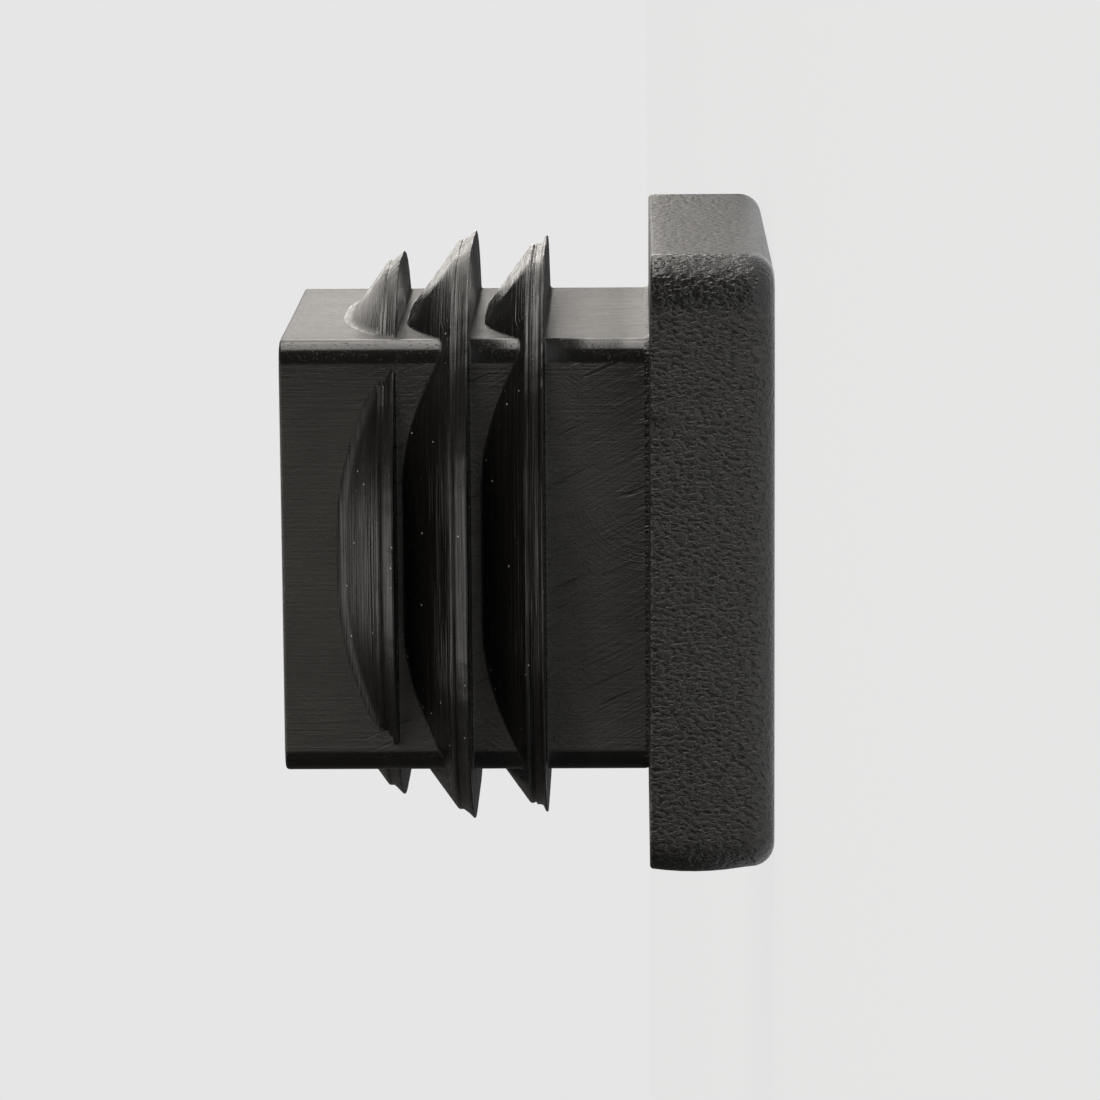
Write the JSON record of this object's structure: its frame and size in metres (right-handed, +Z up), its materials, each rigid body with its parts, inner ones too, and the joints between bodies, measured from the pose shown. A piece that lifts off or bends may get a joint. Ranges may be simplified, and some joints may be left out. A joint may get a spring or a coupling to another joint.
{
  "type": "square tube end cap",
  "caption": "Square moulded plastic end cap with a thick square head and a hollow finned plug that presses into the end of a square tube.",
  "frame": {"origin": "where the tube's axis meets the plane of the head that the tube's end stops against", "axes": "+Z up along the tube's axis, from the head through the plug to its tip; the cap stands on the outer face of its head; X and Y are square to the head's sides"},
  "size_m": [0.02, 0.02, 0.0159],
  "materials": {
    "black_plastic": "black moulded polyethylene, spark-eroded texture on the head and smooth machined-tool marks on the plug and fins"
  },
  "bodies": {
    "root": {"end_cap": "black_plastic"}
  },
  "joints": []
}
